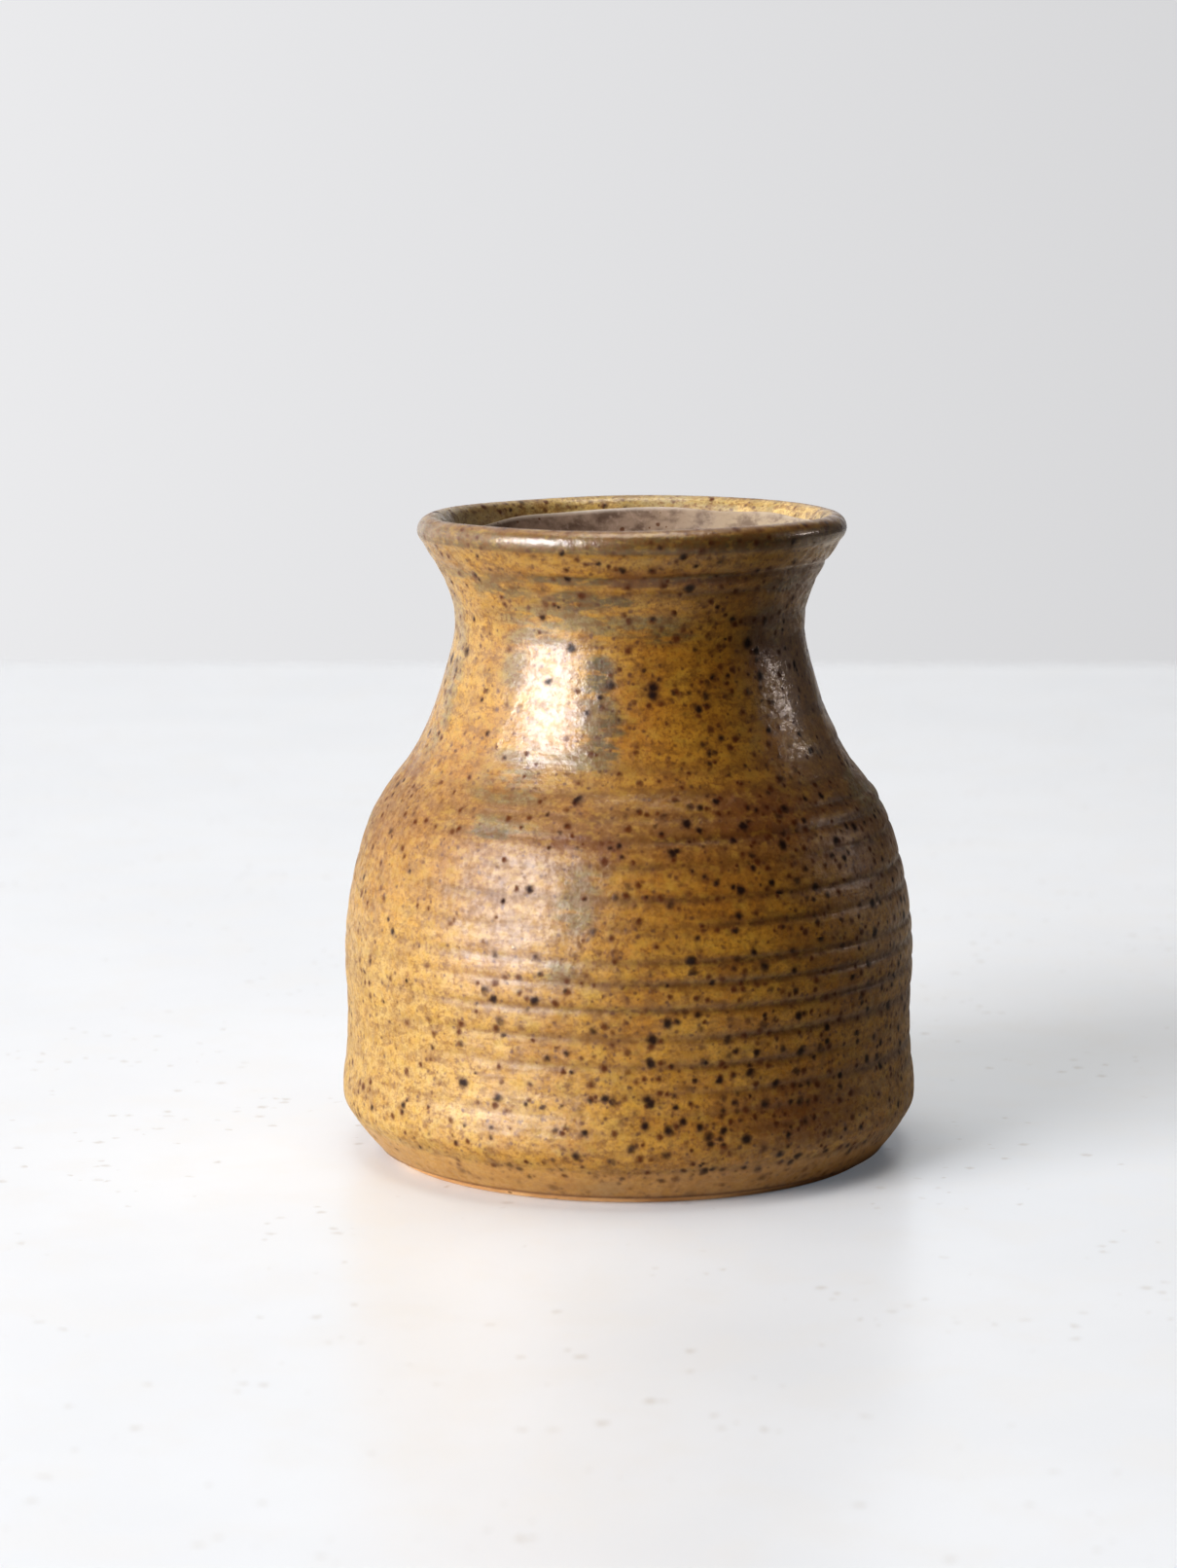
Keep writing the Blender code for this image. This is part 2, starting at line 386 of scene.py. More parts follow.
class Shader:
    """Builds one material. A value is a number, a colour or another node's output."""

    def __init__(self, name):
        self.material = bpy.data.materials.new(name)
        self.material.use_nodes = True
        self.tree = self.material.node_tree
        self.surface = self.tree.nodes["Principled BSDF"]
        place = self.tree.nodes.new("ShaderNodeTexCoord").outputs["Object"]
        self.mm = self.vector("SCALE", place, Scale=1 / MM)

    def add(self, kind, inputs, **settings):
        node = self.tree.nodes.new(kind)
        for key, value in settings.items():
            setattr(node, key, value)
        for key, value in inputs.items():
            self.put(node.inputs[key], value)
        return node

    def put(self, socket, value):
        if isinstance(value, bpy.types.NodeSocket):
            self.tree.links.new(value, socket)
        elif isinstance(value, tuple) and socket.type == "RGBA":
            socket.default_value = (*value, 1.0)
        else:
            socket.default_value = value

    def vector(self, operation, a, b=None, **named):
        inputs = {0: a} if b is None else {0: a, 1: b}
        return self.add("ShaderNodeVectorMath", {**inputs, **named}, operation=operation).outputs[0]

    def math(self, operation, a, b=0.0, clamp=False):
        inputs = {0: a, 1: b}
        return self.add("ShaderNodeMath", inputs, operation=operation, use_clamp=clamp).outputs[0]

    def times(self, a, b):
        return self.math("MULTIPLY", a, b)

    def plus(self, a, b):
        return self.math("ADD", a, b)

    def total(self, first, *others):
        for value in others:
            first = self.plus(first, value)
        return first

    def either(self, a, b):
        return self.math("MAXIMUM", a, b)

    def step(self, value, low, high, start=0.0, end=1.0):
        """From start at low to end at high, smoothly, and level beyond them."""
        inputs = {"Value": value, "From Min": low, "From Max": high, "To Min": start, "To Max": end}
        return self.add("ShaderNodeMapRange", inputs, interpolation_type="SMOOTHSTEP").outputs[0]

    def mix(self, share, a, b, blend="MIX"):
        inputs = {0: share, 6: a, 7: b}
        return self.add("ShaderNodeMix", inputs, data_type="RGBA", blend_type=blend).outputs[2]

    def noise(self, size, detail=3.0, roughness=0.55, stretch=None):
        """Noise with features about size mm. A stretch below 1 draws them out along its axis."""
        at = self.mm if stretch is None else self.vector("MULTIPLY", self.mm, stretch)
        inputs = {"Vector": at, "Scale": 1 / size, "Detail": detail, "Roughness": roughness}
        return self.add("ShaderNodeTexNoise", inputs).outputs[0]

    def shaken(self, size, reach):
        """The place, moved about by up to reach mm, so that outlines are uneven."""
        inputs = {"Vector": self.mm, "Scale": 1 / size, "Detail": 2.0}
        wander = self.add("ShaderNodeTexNoise", inputs)
        centred = self.vector("SUBTRACT", wander.outputs["Color"], (0.5, 0.5, 0.5))
        return self.vector("ADD", self.mm, self.vector("SCALE", centred, Scale=2 * reach))

    def attribute(self, name):
        return self.add("ShaderNodeAttribute", {}, attribute_name=name).outputs["Fac"]

    def height(self):
        return self.add("ShaderNodeSeparateXYZ", {0: self.mm}).outputs["Z"]

    def specks(self, spacing, smallest, largest, share, place, soft=0.4, offset=0.0):
        """Spots of the given radii in mm, one to a cell in a share of cells. 1 inside a spot."""
        at = self.vector("ADD", place, (offset, 0.7 * offset, -0.4 * offset))
        inputs = {"Vector": at, "Scale": 1 / spacing, "Randomness": 1.0}
        cells = self.add("ShaderNodeTexVoronoi", inputs)
        draw = self.add("ShaderNodeSeparateColor", {0: cells.outputs["Color"]}).outputs
        size = self.math("POWER", draw[0], 1.3)
        radius = self.plus(self.times(size, largest - smallest), smallest)
        reach = self.math("DIVIDE", self.times(cells.outputs["Distance"], spacing), radius)
        return self.times(self.step(reach, 1.0, 1.0 - soft), self.math("LESS_THAN", draw[1], share))

    def bump(self, height_mm):
        inputs = {"Strength": 1.0, "Distance": MM, "Height": height_mm}
        return self.add("ShaderNodeBump", inputs).outputs[0]

    def finish(self, **inputs):
        for key, value in inputs.items():
            self.put(self.surface.inputs[key.replace("_", " ")], value)
        return self.material


# Colours are linear RGB.
AMBER = (0.492, 0.277, 0.038)
AMBER_DEEP = (0.392, 0.189, 0.021)
ORANGE = (0.41, 0.195, 0.020)
OCHRE = (0.415, 0.270, 0.050)
BROWN = (0.185, 0.084, 0.013)
RUST = (0.15, 0.046, 0.010)
OLIVE = (0.215, 0.172, 0.086)
OLIVE_DARK = (0.118, 0.092, 0.044)
MAUVE = (0.205, 0.104, 0.042)
# Painted sheen of the window, mixed into the glaze on its side.
PAINTED_SHEEN = (0.50, 0.35, 0.135)
GROOVE_POOL_AND_SHADE = (0.075, 0.030, 0.007)
THICK_TINT = (0.95, 0.91, 0.82)
# Painted shade tint for the side away from the window.
PAINTED_SHADE_TINT = (0.96, 0.77, 0.47)

LIP_RING = (0.41, 0.265, 0.062)
LIP_BAND = (0.118, 0.090, 0.042)
LIP_CREST = (0.185, 0.098, 0.036)
LIP_WORN = (0.15, 0.058, 0.018)
MOUTH_PALE = (0.66, 0.47, 0.18)
MOUTH_OLIVE = (0.40, 0.31, 0.135)
MOUTH_RUN = (0.335, 0.272, 0.140)
FOOT_THIN_AND_SHEEN = (0.46, 0.26, 0.085)
FOOT_EDGE = (0.14, 0.055, 0.02)

IRON = (0.024, 0.012, 0.0105)
IRON_RUSTY = (0.105, 0.034, 0.012)
IRON_BROWN = (0.095, 0.030, 0.009)
IRON_HALO = (0.12, 0.042, 0.012)
IRON_DUST = (0.14, 0.045, 0.012)
PINHOLE = (0.62, 0.47, 0.27)

LINER = (0.275, 0.198, 0.150)
LINER_DARK = (0.135, 0.090, 0.066)
LINER_PALE = (0.36, 0.27, 0.22)
LINER_BLEED = (0.375, 0.30, 0.20)
# Colour of the painted highlight along the liner's edge.
LINER_EDGE_HIGHLIGHT = (0.62, 0.54, 0.45)
LINER_GROOVE = (0.14, 0.08, 0.055)
CLAY = (0.74, 0.50, 0.27)
CLAY_DARK = (0.58, 0.34, 0.16)
CLAY_GROG = (0.74, 0.52, 0.33)

GLAZE_MARKS = (
    "groove", "olive", "dark", "rust", "mauve", "crowd", "inside", "flame", "pale", "run",
)


def clouded_amber(s):
    """The glaze's own colour: amber, with deeper streaks and with clouds of orange and ochre."""
    colour = s.mix(s.step(s.noise(9.0, 4.0), 0.35, 0.68), AMBER, AMBER_DEEP)
    streaks = s.noise(6.0, 4.0, 0.6, stretch=(0.35, 0.35, 3.0))
    colour = s.mix(s.step(streaks, 0.5, 0.75, 0.0, 0.30), colour, AMBER_DEEP)
    clouds = s.noise(3.4, 4.0, 0.6, stretch=(0.8, 0.8, 1.5))
    colour = s.mix(s.step(clouds, 0.50, 0.70, 0.0, 0.50), colour, ORANGE)
    return s.mix(s.step(clouds, 0.48, 0.30, 0.0, 0.60), colour, OCHRE)


def with_patches(s, colour, marks, broken):
    """Mauve bands, grooves darkened by pooled glaze and painted shade, smears of olive and rust,
    and a painted sheen on the window's side.
    """
    colour = s.mix(s.times(marks["mauve"], s.step(broken, 0.30, 0.62, 0.40, 0.85)), colour, MAUVE)
    # Grooves darkened by pooled glaze and by painted shade, strongest away from the window.
    pooled_and_shaded = s.times(marks["groove"], s.step(broken, 0.35, 0.6, 0.55, 0.90))
    colour = s.mix(pooled_and_shaded, colour, GROOVE_POOL_AND_SHADE)
    smeared = s.step(s.noise(3.0, 4.0, 0.58, stretch=(0.5, 0.5, 1.7)), 0.34, 0.56, 0.14, 1.0)
    olive = s.times(s.plus(marks["olive"], 0.08), smeared)
    colour = s.mix(s.step(olive, 0.02, 0.55, 0.0, 0.90), colour, OLIVE)
    dark = s.times(marks["dark"], smeared)
    colour = s.mix(s.step(dark, 0.02, 0.46, 0.0, 0.92), colour, OLIVE_DARK)
    rust = s.times(marks["rust"], s.plus(broken, 0.4))
    colour = s.mix(s.step(rust, 0.25, 0.85, 0.0, 0.65), colour, RUST)
    # Painted sheen: paler, whiter glaze where the "pale" mark lies, on the window's side.
    return s.mix(s.times(marks["pale"], s.step(broken, 0.3, 0.6, 0.80, 0.45)), colour, PAINTED_SHEEN)


def with_lip(s, colour, drop, marks, broken):
    """An ochre ring under the lip, a grey-olive band round its bead, and wear along its crest."""
    ring = s.times(s.step(drop, 6.8, 5.8), s.step(drop, 3.4, 4.2))
    colour = s.mix(s.times(ring, s.step(broken, 0.3, 0.6, 0.70, 0.35)), colour, LIP_RING)
    band = s.times(s.step(drop, 4.1, 3.4), s.step(drop, 0.3, 1.0))
    colour = s.mix(s.times(band, s.step(broken, 0.3, 0.6, 0.65, 0.92)), colour, LIP_BAND)
    crest = s.times(s.step(drop, 0.95, 0.40), s.math("SUBTRACT", 1.0, marks["inside"]))
    colour = s.mix(s.times(crest, s.step(broken, 0.3, 0.6, 0.55, 0.9)), colour, LIP_CREST)
    worn = s.times(s.step(drop, 4.1, 2.8), s.step(s.noise(0.9, 4.0, 0.7), 0.50, 0.62, 0.0, 0.55))
    return s.mix(worn, colour, LIP_WORN)


def with_mouth(s, colour, marks, broken):
    """Pale ochre just inside the mouth, with olive runs."""
    inner = s.mix(s.step(s.noise(4.0, 4.0, 0.65), 0.42, 0.62), MOUTH_PALE, MOUTH_OLIVE)
    colour = s.mix(s.times(marks["inside"], 0.9), colour, inner)
    runs = s.times(s.times(marks["inside"], marks["run"]), s.step(broken, 0.25, 0.6, 0.5, 0.95))
    return s.mix(runs, colour, MOUTH_RUN)


def with_mottling(s, colour):
    """Fine rust spots, brown grains, curdling and a brown haze."""
    spotted = s.step(s.noise(12.0, 2.0), 0.40, 0.60, 0.40, 0.66)
    colour = s.mix(s.times(s.step(s.noise(0.65, 3.0, 0.6), 0.50, 0.67), spotted), colour, RUST)
    colour = s.mix(s.step(s.noise(0.38, 2.0, 0.6), 0.52, 0.66, 0.0, 0.40), colour, BROWN)
    curdle = s.noise(1.7, 4.0, 0.7, stretch=(0.7, 0.7, 1.4))
    colour = s.mix(s.step(curdle, 0.50, 0.61, 0.0, 0.56), colour, BROWN)
    colour = s.mix(s.step(curdle, 0.48, 0.38, 0.0, 0.38), colour, OCHRE)
    haze = s.noise(5.0, 5.0, 0.62, stretch=(0.6, 0.6, 1.7))
    return s.mix(s.step(haze, 0.46, 0.68, 0.0, 0.34), colour, BROWN)


def with_thickness(s, colour, z, flame):
    """Deeper from the belly up, where the coat is thick; redder and deeper on the side away from
    the window, as painted shade; thin at the foot, and paler there as a painted sheen from the
    worktop.
    """
    colour = s.mix(s.step(z, 34.0, 50.0), colour, THICK_TINT, "MULTIPLY")
    # Painted shade: redder and deeper on the side away from the window.
    colour = s.mix(flame, colour, PAINTED_SHADE_TINT, "MULTIPLY")
    # Thinner glaze on the bevel, lightened and whitened as a painted sheen of the bright worktop
    # below it.
    foot = s.step(s.plus(z, s.times(s.noise(14.0, 2.0), 1.6)), 7.6, 6.4)
    colour = s.mix(s.times(foot, 0.62), colour, FOOT_THIN_AND_SHEEN)
    edge = s.step(z, 1.9, 1.2)
    return s.mix(s.times(edge, 0.8), colour, FOOT_EDGE)


def with_iron(s, colour, z, crowd):
    """Iron specks in four sizes. Also gives where the larger ones and the dust lie."""
    uneven = s.shaken(0.8, 0.32)
    ragged = s.shaken(1.2, 0.50)
    clear = s.step(z, 3.0, 7.5, 0.35, 1.0)
    sometimes = s.plus(s.times(crowd, 0.6), 0.22)
    common = s.plus(crowd, 0.43)
    often = s.plus(s.times(crowd, 1.4), 0.46)
    seldom = s.plus(s.times(crowd, 1.6), 0.15)
    dust = s.times(clear, s.specks(0.75, 0.10, 0.24, sometimes, uneven, soft=0.7))
    fine = s.times(clear, s.specks(1.25, 0.30, 0.62, common, uneven, soft=0.8, offset=31.0))
    medium = s.times(clear, s.specks(1.9, 0.46, 0.95, often, uneven, soft=0.8, offset=57.0))
    stain = s.times(clear, s.specks(1.9, 0.80, 1.50, often, uneven, soft=1.0, offset=57.0))
    large = s.times(clear, s.specks(3.0, 0.76, 1.36, seldom, ragged, soft=0.75, offset=83.0))
    halo = s.times(clear, s.specks(3.0, 1.25, 2.15, seldom, ragged, soft=1.0, offset=83.0))

    colour = s.mix(s.times(dust, 0.42), colour, IRON_DUST)
    colour = s.mix(s.times(fine, 0.80), colour, IRON_BROWN)
    colour = s.mix(s.times(s.either(halo, stain), 0.62), colour, IRON_HALO)
    rusty = s.step(s.noise(2.6, 1.0), 0.40, 0.46)
    colour = s.mix(s.times(medium, 0.88), colour, s.mix(rusty, IRON, IRON_RUSTY))
    colour = s.mix(s.times(large, 0.95), colour, IRON)
    pinholes = s.specks(9.0, 0.35, 0.6, 0.10, uneven, offset=11.0)
    colour = s.mix(s.times(pinholes, 0.7), colour, PINHOLE)
    return colour, s.either(medium, large), dust


def shine(s, z, drop, mauve, iron):
    """Weight and roughness of the shine: glossy on neck, lip and bevel, drier down the body."""
    dry = s.step(z, 72.0, 56.0)
    drier = s.step(z, 44.0, 26.0)
    matte = s.total(s.times(dry, 0.20), s.times(drier, 0.12), s.times(s.noise(5.0, 3.0), 0.12))
    roughness = s.total(matte, 0.12, s.times(iron, 0.15))
    patchy = s.step(s.noise(4.0, 4.0, 0.65), 0.40, 0.62, 0.0, -0.30)
    pitted = s.step(s.noise(1.1, 3.0, 0.6), 0.45, 0.60, 0.12, -0.32)
    lip = s.times(s.step(drop, 5.5, 3.5, 0.0, 0.25), s.step(drop, 0.6, 1.6))
    bevel = s.step(z, 9.0, 6.0, 0.0, 0.40)
    losses = s.total(s.times(drier, -0.25), s.times(iron, -0.40), s.times(mauve, -0.40))
    weight = s.total(0.75, pitted, patchy, s.either(lip, bevel))
    return s.math("ADD", weight, losses, clamp=True), roughness


def skin_relief(s, iron, dust):
    """Height in mm of the orange peel, the grain and the faint lines that fingers dragged."""
    peel = s.plus(s.times(s.noise(6.0, 2.0), 0.26), s.times(s.noise(1.6, 3.0), 0.07))
    grain = s.plus(s.times(s.noise(0.35, 2.0), 0.014), s.times(s.noise(0.8, 2.0), 0.028))
    lines = s.times(s.noise(1.1, 3.0, 0.6, stretch=(0.06, 0.06, 1.0)), 0.050)
    return s.total(peel, grain, lines, s.times(iron, 0.02), s.times(dust, -0.006))


def amber_glaze():
    """Ochre glaze that breaks to rust on edges, pools olive, and is peppered with iron."""
    s = Shader("speckled_amber_glaze")
    z = s.height()
    drop = s.math("SUBTRACT", HEIGHT / MM, z)
    marks = {name: s.attribute(name) for name in GLAZE_MARKS}
    broken = s.noise(2.2, 4.0, 0.65)
    colour = with_patches(s, clouded_amber(s), marks, broken)
    colour = with_lip(s, colour, drop, marks, broken)
    colour = with_mouth(s, colour, marks, broken)
    colour = with_mottling(s, colour)
    colour = with_thickness(s, colour, z, marks["flame"])
    colour, iron, dust = with_iron(s, colour, z, marks["crowd"])
    gloss, roughness = shine(s, z, drop, marks["mauve"], iron)
    specular = s.total(0.85, s.times(iron, -0.60), s.times(marks["mauve"], -0.20))
    normal = s.bump(skin_relief(s, iron, dust))
    return s.finish(
        Base_Color=colour, Roughness=0.46, Specular_IOR_Level=specular, Normal=normal,
        Coat_Weight=gloss, Coat_Roughness=roughness, Coat_IOR=1.6, Coat_Normal=normal,
    )


def mauve_liner():
    """The cavity's grey-mauve glaze: a painted highlight along its edge, ochre where the outer
    glaze bled in.
    """
    s = Shader("grey_liner_glaze")
    uneven = s.shaken(0.8, 0.16)
    cloud = s.noise(4.5, 4.0, 0.62, stretch=(1.0, 1.0, 1.6))
    colour = s.mix(s.step(cloud, 0.36, 0.66), LINER, LINER_DARK)
    colour = s.mix(s.step(s.noise(0.8, 3.0), 0.52, 0.72, 0.0, 0.4), colour, LINER_PALE)
    bleed = s.times(s.attribute("bleed"), s.step(cloud, 0.62, 0.40, 0.25, 0.9))
    colour = s.mix(bleed, colour, LINER_BLEED)
    # Painted highlight along the liner's edge.
    colour = s.mix(s.times(s.attribute("edge"), 0.70), colour, LINER_EDGE_HIGHLIGHT)
    colour = s.mix(s.times(s.attribute("groove"), 0.5), colour, LINER_GROOVE)
    coarse = s.specks(3.2, 0.3, 0.75, 0.22, uneven)
    fine = s.specks(1.6, 0.12, 0.35, 0.30, uneven, offset=23.0)
    colour = s.mix(s.times(s.either(coarse, fine), 0.75), colour, IRON_BROWN)
    relief = s.plus(s.times(s.noise(2.2, 2.0), 0.035), s.times(s.noise(0.4, 2.0), 0.008))
    roughness = s.plus(s.times(s.noise(5.0, 3.0), 0.15), 0.15)
    return s.finish(Base_Color=colour, Roughness=roughness, IOR=1.52, Normal=s.bump(relief))


def bare_clay():
    """Toasted stoneware with grog and iron in it, left bare on the foot."""
    s = Shader("bare_clay")
    uneven = s.shaken(0.5, 0.12)
    colour = s.mix(s.step(s.noise(11.0, 4.0), 0.35, 0.68), CLAY, CLAY_DARK)
    colour = s.mix(s.step(s.noise(0.7, 4.0, 0.65), 0.45, 0.7, 0.0, 0.5), colour, CLAY_DARK)
    grog = s.specks(1.3, 0.12, 0.34, 0.45, uneven)
    colour = s.mix(s.times(grog, 0.55), colour, CLAY_GROG)
    fine = s.specks(2.4, 0.2, 0.5, 0.22, uneven, offset=19.0)
    coarse = s.specks(5.5, 0.5, 0.9, 0.2, uneven, offset=47.0)
    colour = s.mix(s.times(s.either(fine, coarse), 0.8), colour, IRON_BROWN)
    colour = s.mix(s.times(s.attribute("groove"), 0.35), colour, CLAY_DARK)
    relief = s.plus(s.times(s.noise(0.5, 4.0, 0.7), 0.07), s.times(grog, 0.03))
    return s.finish(Base_Color=colour, Roughness=0.86, IOR=1.45, Normal=s.bump(relief))


# ---------------------------------------------------------------- the three pieces

AZIMUTH = np.arange(AROUND)[None, :] * TURN / AROUND


def outside_spacing(height):
    fine_wall = np.where(height < 63 * MM, 0.44 * MM, 0.84 * MM)
    return np.where(height > 95 * MM, 0.36 * MM, fine_wall)


def inside_spacing(height):
    return np.full_like(height, 0.9 * MM)


def liner_edge_drop():
    """How far the liner's edge lies below its usual height: it is lower on one side."""
    gap = (np.degrees(AZIMUTH) + 112 + 180) % 360 - 180
    uneven = 0.35 * MM * (1 + waves(AZIMUTH, seed=610, lowest=3, highest=12, fall=0.5))
    return 1.5 * MM * np.exp(-((gap / 30) ** 2)) + uneven


def rolled(thickness, count=7):
    """A coat's rounded edge, from its back to its face: how far in, and how far past the edge."""
    turn = np.linspace(-math.pi / 2, math.pi / 2, count)
    return 0.5 * thickness * (1 - np.sin(turn)), 0.5 * thickness * np.cos(turn)


def wall_relief(height, azimuth):
    """A crisp heel over a hollow bevel, and two uneven ridges on one side of the shoulder."""
    heel = 0.28 * MM * np.exp(-(((height - HEEL) / (1.4 * MM)) ** 2))
    bevel = 0.16 * MM * np.exp(-(((height - 5.0 * MM) / (1.8 * MM)) ** 2))
    lower = 0.30 * MM * blob(height, azimuth, (88, 60.3), (38, 1.5))
    upper = 0.21 * MM * blob(height, azimuth, (80, 71.0), (30, 1.6))
    return heel - bevel + lower + upper


def outer_coat(line, lip, edge):
    """The amber glaze, from its edge above the foot over the lip to its end under the liner."""
    start = line.along[0] + 0.52 * MM
    face = spaced(line, start, edge + LINER_OVERLAP, outside_spacing)
    roll_in, roll_past = rolled(COAT)
    back = np.linspace(edge + LINER_OVERLAP, start, 30)
    s = np.concatenate([start - roll_past[:-1], face, back[:-1]])
    inward = np.concatenate([roll_in[:-1], np.zeros(len(face)), np.full(len(back) - 1, COAT)])
    past = np.minimum(s, start) - start
    s, inward = np.maximum(s, start)[:, None], inward[:, None]

    outside = s < lip
    shown = (inward < 1e-9) & outside
    height = line.at(s)[..., 1] + 0 * AZIMUTH
    grooves, depth = groove_relief(height, AZIMUTH, OUTSIDE_GROOVES, seed=11)
    off_foot = np.clip((s - start) / (2.0 * MM), 0, 1)
    off_lip = np.clip((LIP_UNDERSIDE - height) / (2.0 * MM), 0, 1)
    fade = off_foot * off_lip * outside
    relief = grooves * fade + shown * wall_relief(height, AZIMUTH)
    wander = 0.28 * MM * waves(AZIMUTH, seed=71, lowest=3, highest=14, fall=0.6)
    wander = wander * np.exp(-(s - start) / (2.5 * MM))
    grid = swept(line, s + np.maximum(wander, -0.3 * MM), relief - inward, AZIMUTH)
    grid[..., 2] += past[:, None]
    attributes = painted(height)
    attributes["groove"] = depth * fade
    attributes["inside"] = np.clip((s - lip) / (0.8 * MM), 0, 1) + 0 * AZIMUTH
    return lean(grid, AZIMUTH), attributes


def painted(height):
    """The patches of the glaze, for its material to read."""
    behind = scattered(26, seed=5, spread=105, heights=(35, 99), widths=(3, 10), tall=(0.9, 3.5))
    rusty = scattered(16, seed=6, spread=110, heights=(8, 99), widths=(5, 18), tall=(0.8, 6.0))
    places = {
        "olive": OLIVE_PATCHES + behind,
        "dark": DARK_PATCHES,
        "rust": RUST_PATCHES + rusty,
        "mauve": MAUVE_PATCHES,
        "run": RUN_PATCHES,
        "flame": PAINTED_SHADE_PATCHES,
        # "pale" places the painted sheen on the window's side.
        "pale": PAINTED_SHEEN_PATCHES,
    }
    marks = {name: patches(height, AZIMUTH, where) for name, where in places.items()}
    crowded, sparse = patches(height, AZIMUTH, CROWDED), patches(height, AZIMUTH, SPARSE)
    marks["crowd"] = 0.02 + 0.42 * crowded - 0.13 * sparse
    return marks


def liner(line, edge):
    """The mauve glaze of the cavity, from its raised edge below the lip to the floor's middle."""
    end = line.along[-1]
    face = spaced(line, edge, end, inside_spacing)
    thickness = COAT + LINER_PROUD
    roll_in, roll_past = rolled(thickness)
    back = np.linspace(end, edge, 60)
    s = np.concatenate([back, edge - roll_past[1:-1] * 0.4, face])
    edge_in = roll_in[1:-1] - LINER_PROUD
    inward = np.concatenate([np.full(len(back), COAT), edge_in, np.zeros(len(face))])
    below = np.clip((s - edge - 3.0 * MM) / (4.0 * MM), 0, 1)
    inward = inward - (inward == 0) * LINER_PROUD * (1 - below)
    s = s[:, None]
    shown = np.concatenate([np.zeros(len(back)), np.ones(len(roll_in) - 2 + len(face))])[:, None]

    place = line.at(s)
    height, radius = place[..., 1] + 0 * AZIMUTH, place[..., 0] + 0 * AZIMUTH
    grooves = tuple((z, 0.22) for z in np.arange(21.0, 98.0, 5.3))
    relief, depth = groove_relief(height, AZIMUTH, grooves, seed=211)
    on_wall = np.clip((height - FLOOR - FLOOR_CORNER) / (4 * MM), 0, 1)
    on_wall = on_wall * np.clip((s - edge) / (5 * MM), 0, 1)
    spiral = np.cos(TURN * radius / (4.6 * MM) + AZIMUTH)
    spiral = spiral * np.clip((radius - 3 * MM) / (4 * MM), 0, 1)
    on_floor = np.clip((FLOOR + 6 * MM - height) / (4 * MM), 0, 1)
    relief = shown * (relief * on_wall + 0.16 * MM * spiral * on_floor)
    slide = liner_edge_drop() * np.exp(-np.maximum(s - edge, 0) / (6 * MM))
    grid = swept(line, s + slide, relief - inward[:, None], AZIMUTH)
    # Painted highlight along the edge, strongest on the left at the back.
    edge_highlight = shown * np.exp(-(np.maximum(s - edge, 0) / (0.55 * MM)) ** 2)
    highlight_side = 0.25 + 0.75 * patches(height, AZIMUTH, LINER_HIGHLIGHT_PATCHES)
    return lean(grid, AZIMUTH), {
        "groove": shown * depth * on_wall,
        "edge": edge_highlight * highlight_side,
        "bleed": shown * patches(height, AZIMUTH, LINER_BLEED_PATCHES),
    }


def foot_outline():
    """The underside, from the middle of the turned recess to the outer edge of the resting ring."""
    soft = 0.25 * MM
    across = np.linspace(0, FOOT_RING_INNER - 2.0 * MM, RECESS_ROWS)
    recess = np.stack([across, np.full(RECESS_ROWS, RECESS_DEPTH)], 1)
    inner = arc((FOOT_RING_INNER + soft, soft), soft, 200, 270, 8)
    outer = arc((FOOT_RING_OUTER - soft, soft), soft, 270, 350, 8)
    return np.concatenate([recess, inner, outer])


def clay(line):
    """The thrown body under both glazes. It shows at the foot."""
    foot = foot_outline()
    s = spaced(line, line.along[0], line.along[-1], lambda height: np.full_like(height, 1.6 * MM))
    skin = line.at(s) - line.normal(s) * (COAT - BEDDED)
    skin[:, 0] = np.maximum(skin[:, 0], 0)
    skin[-1, 0] = 0
    outline = np.concatenate([foot, skin])
    radius, height = outline[:, :1] + 0 * AZIMUTH, outline[:, 1:] + 0 * AZIMUTH
    in_recess = (np.arange(len(outline)) < RECESS_ROWS)[:, None]
    in_recess = in_recess * np.clip((radius - 2 * MM) / (3 * MM), 0, 1)
    in_recess = in_recess * np.clip((FOOT_RING_INNER - 3 * MM - radius) / MM, 0, 1)
    turning = 0.5 + 0.5 * np.cos(TURN * radius / (2.3 * MM) - AZIMUTH)
    height = height + in_recess * 0.12 * MM * turning**3
    grid = lean(round_the_axis(radius, height, AZIMUTH), AZIMUTH)
    return grid, {"groove": in_recess * turning**3}


def build_vase():
    line = skin_line()
    lip = line.along[np.argmax(line.points[:, 1])]
    edge = line.last_at(LINER_TOP + 0.6 * MM)
    pieces = (
        ("amber_glaze_coat", outer_coat(line, lip, edge), True, amber_glaze(), "outer_glaze"),
        ("mauve_liner_coat", liner(line, edge), False, mauve_liner(), "liner_glaze"),
        ("thrown_clay_body", clay(line), False, bare_clay(), "clay_body"),
    )
    for name, (grid, attributes), closed, material, node in pieces:
        piece = grid_mesh(name, grid, closed, attributes)
        piece.data.materials.append(material)
        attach(piece, "root")
        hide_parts(node)


build_vase()

# ---------------------------------------------------------------- the studio

WORKTOP = (0.685, 0.685, 0.685)
WORKTOP_GREY = (0.665, 0.665, 0.665)
WORKTOP_FLECK = (0.44, 0.39, 0.33)
WORKTOP_BLOTCH = (0.675, 0.664, 0.648)
BOUNCE_FULL = (0.68, 0.63, 0.56)
BOUNCE_DIM = (0.11, 0.098, 0.078)

TABLE_EDGE = 6.12 * HEIGHT  # how far behind the vase the table ends
EYE_DISTANCE = 6.1246 * HEIGHT
EYE_HEIGHT = 1.530 * HEIGHT
EYE_DOWN = math.radians(8.88)
EYE_LEFT = math.radians(0.593)
LONG_SIDE = 19.85  # of the sensor, in mm
LENS = 50.0


